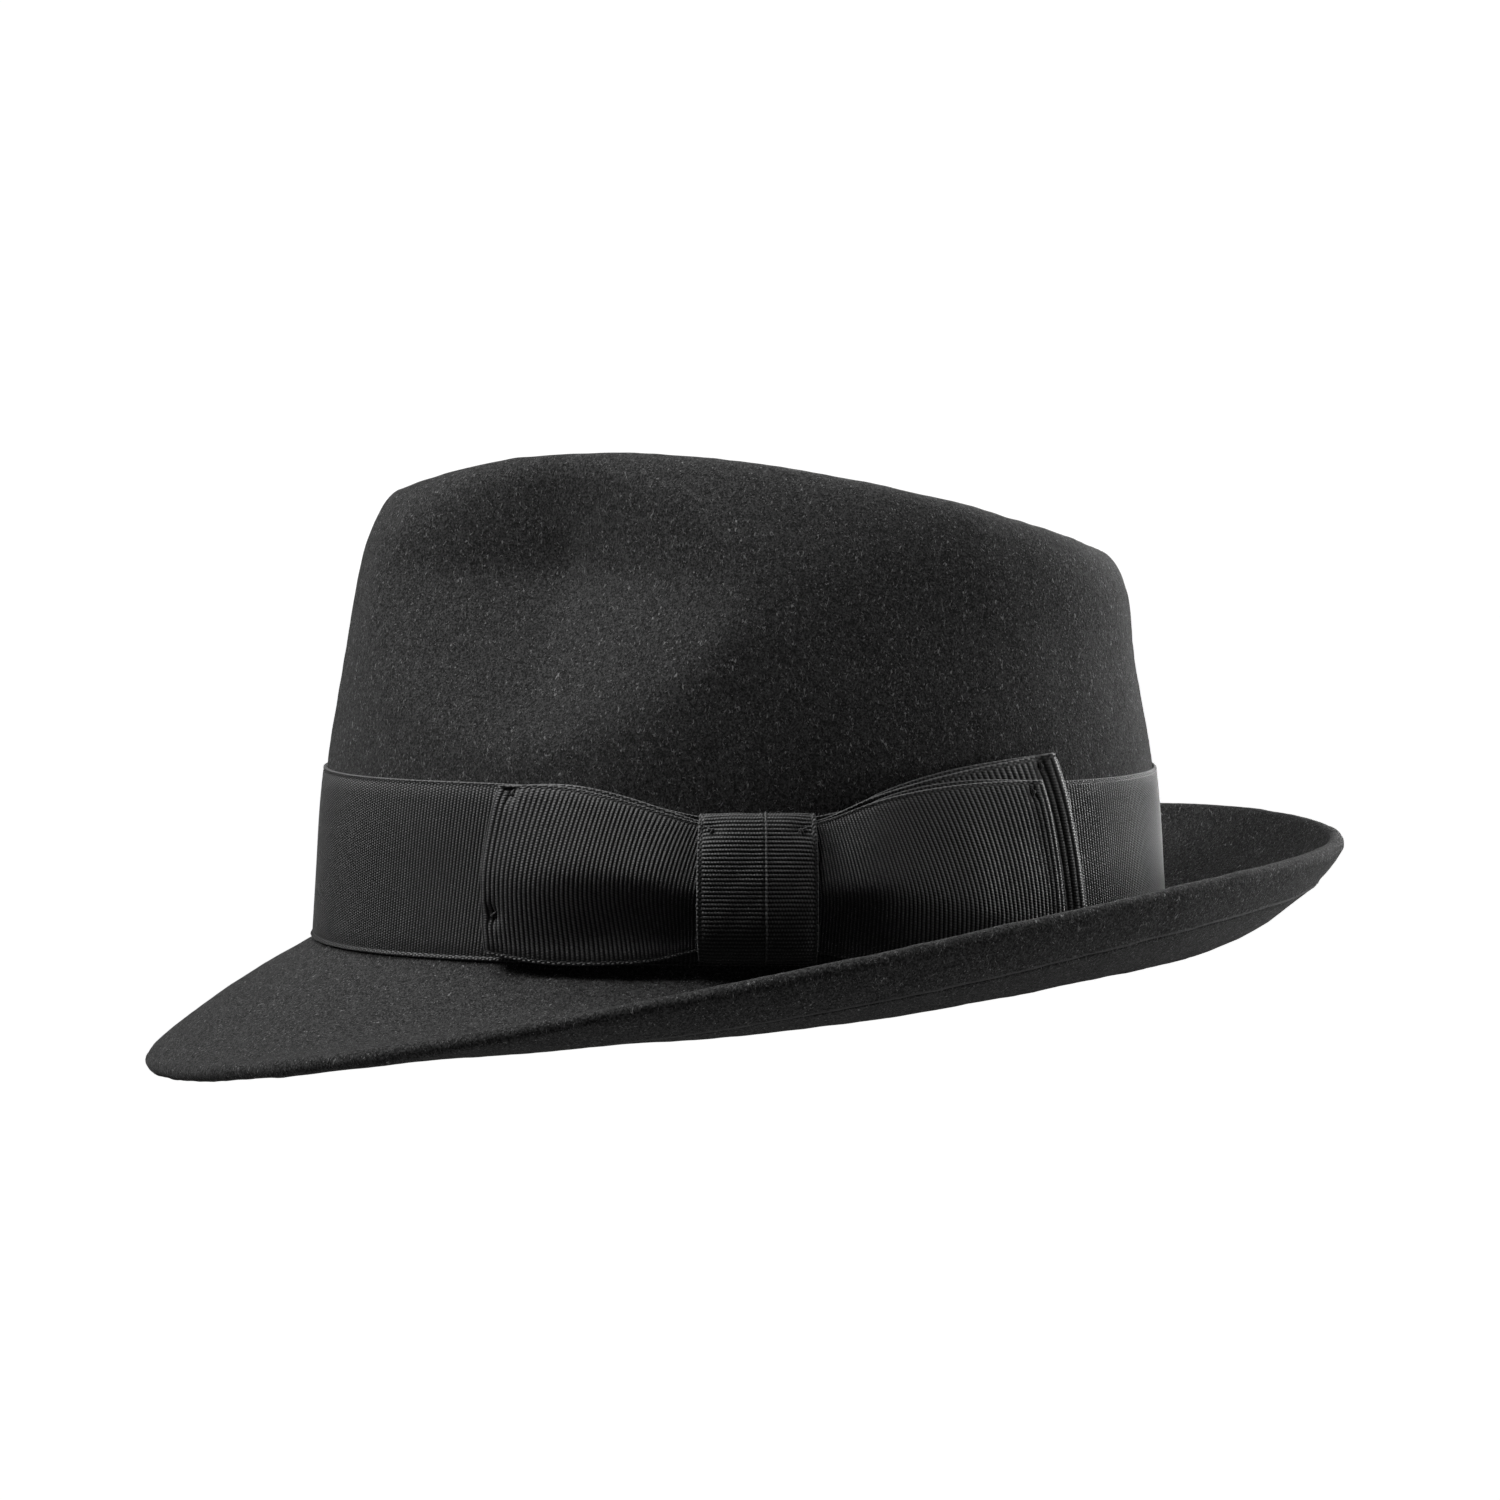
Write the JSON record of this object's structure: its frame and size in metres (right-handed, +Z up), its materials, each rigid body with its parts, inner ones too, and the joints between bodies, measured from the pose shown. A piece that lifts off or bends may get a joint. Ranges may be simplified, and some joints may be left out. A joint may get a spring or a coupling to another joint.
{
  "type": "fedora hat",
  "caption": "Felt fedora with a teardrop crown pinched at the front, a snapped-down front brim turned up behind, a ribbed ribbon band and a flat side bow.",
  "frame": {"origin": "centre of the head opening, level with the front and back of the brim break, where crown and brim meet", "axes": "+Z up through the crown, -Y to the hat's front, +X to the wearer's left, which carries the bow"},
  "size_m": [0.2646, 0.2866, 0.1471],
  "materials": {
    "felt": "black fur felt with a short nap and fine pale fibres",
    "grosgrain": "black grosgrain ribbon, ribbed across its length, soft sheen",
    "tack_thread": "black sewing thread",
    "sweatband_leather": "dark brown smooth leather, satin",
    "reed_cover": "black woven tape, matte",
    "sweatband_thread": "brown sewing thread",
    "satin": "charcoal lining satin with a soft sheen"
  },
  "bodies": {
    "hat": {"felt_body": "felt", "hatband": "grosgrain", "bow_front_loop": "grosgrain", "bow_rear_loop": "grosgrain", "bow_rear_fan": "grosgrain", "bow_knot": "grosgrain", "bow_tack_1": "tack_thread", "bow_tack_2": "tack_thread", "bow_tack_3": "tack_thread", "bow_tack_4": "tack_thread", "bow_tack_5": "tack_thread", "bow_tack_6": "tack_thread", "sweatband": "sweatband_leather", "sweatband_reed": "reed_cover", "reed_tape": "reed_cover", "sweatband_stitching": "sweatband_thread", "sweatband_back_bow": "grosgrain", "lining_side": "satin", "lining_tip": "satin"},
    "snap_brim": {"front_brim": "felt"}
  },
  "joints": [
    {"name": "brim_snap", "type": "hinge", "parent": "hat", "child": "snap_brim", "pos_m": [0, -0.1075, -0.003], "axis": [-1, 0, 0], "range_deg": [0, 55]}
  ]
}
